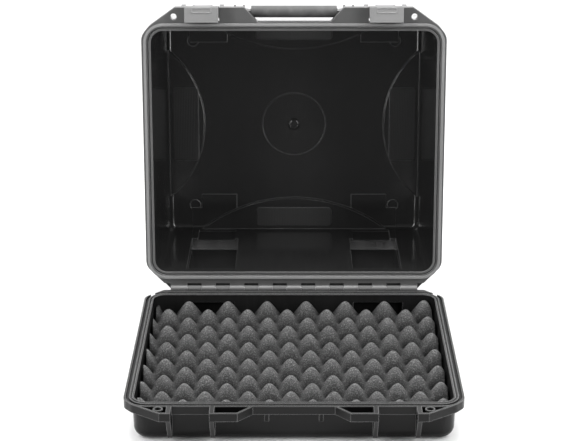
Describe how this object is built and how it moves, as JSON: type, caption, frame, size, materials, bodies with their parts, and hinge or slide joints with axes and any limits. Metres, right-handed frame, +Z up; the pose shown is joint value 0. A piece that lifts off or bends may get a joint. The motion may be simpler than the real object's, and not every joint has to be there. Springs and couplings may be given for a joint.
{
  "type": "drone carrying case",
  "caption": "Watertight hard case with a deep base, a shallow foam-lined lid, long rear hinge, swing latches, folding handle and padlock eyes, standing open.",
  "frame": {"origin": "middle of the lid's flat outer face, on which the open case lies", "axes": "+Z up out of the lid's mouth, +Y from the latch side towards the hinge, +X across the case to the right"},
  "size_m": [0.44, 0.6727, 0.4791],
  "materials": {
    "shell_plastic": "fine satin moulded polypropylene, black",
    "base_plastic": "black moulded polypropylene, polished inside",
    "latch_plastic": "grey satin moulded nylon",
    "release_plastic": "dark grey satin moulded nylon",
    "handle_plastic": "black satin moulded nylon",
    "grip_rubber": "soft dark grey rubber",
    "foot_rubber": "black rubber",
    "seal_rubber": "black closed-cell rubber",
    "vent_plastic": "black glossy plastic",
    "foam": "dark grey open-cell convoluted foam",
    "steel": "bright drawn steel"
  },
  "bodies": {
    "lid": {"lid_shell": "shell_plastic", "lid_gasket": "seal_rubber", "lid_foam": "foam"},
    "base": {"base_shell": "base_plastic", "hinge_pin": "steel", "base_foot_front_left": "foot_rubber", "base_foot_front_right": "foot_rubber", "base_foot_rear_left": "foot_rubber", "base_foot_rear_right": "foot_rubber", "vent_plug": "vent_plastic", "vent_seal": "seal_rubber", "handle_bracket_left": "handle_plastic", "handle_bracket_right": "handle_plastic", "handle_screws": "steel", "handle_pins": "steel", "latch_pin_left": "steel", "latch_pin_right": "steel"},
    "latch_left": {"latch_frame_left": "latch_plastic", "release_pin_left": "steel"},
    "latch_right": {"latch_frame_right": "latch_plastic", "release_pin_right": "steel"},
    "release_left": {"latch_release_left": "release_plastic"},
    "release_right": {"latch_release_right": "release_plastic"},
    "handle": {"handle_frame": "handle_plastic", "handle_grip": "grip_rubber"}
  },
  "joints": [
    {"name": "case_hinge", "type": "hinge", "parent": "lid", "child": "base", "pos_m": [0, 0.20565, 0.055], "axis": [1, 0, 0], "range_deg": [0, 95]},
    {"name": "latch_left_swing", "type": "hinge", "parent": "base", "child": "latch_left", "pos_m": [-0.132, 0.26728, 0.46117], "axis": [-1, 0, 0], "range_deg": [-10, 80]},
    {"name": "latch_left_release", "type": "hinge", "parent": "latch_left", "child": "release_left", "pos_m": [-0.132, 0.26775, 0.46871], "axis": [-1, 0, 0], "range_deg": [0, 12], "stiffness_Nm_per_rad": 0.05, "springref_deg": -5.73},
    {"name": "latch_right_swing", "type": "hinge", "parent": "base", "child": "latch_right", "pos_m": [0.132, 0.26728, 0.46117], "axis": [-1, 0, 0], "range_deg": [-10, 80]},
    {"name": "latch_right_release", "type": "hinge", "parent": "latch_right", "child": "release_right", "pos_m": [0.132, 0.26775, 0.46871], "axis": [-1, 0, 0], "range_deg": [0, 12], "stiffness_Nm_per_rad": 0.05, "springref_deg": -5.73},
    {"name": "handle_swing", "type": "hinge", "parent": "base", "child": "handle", "pos_m": [0, 0.30098, 0.45622], "axis": [-1, 0, 0], "range_deg": [0, 95]}
  ]
}
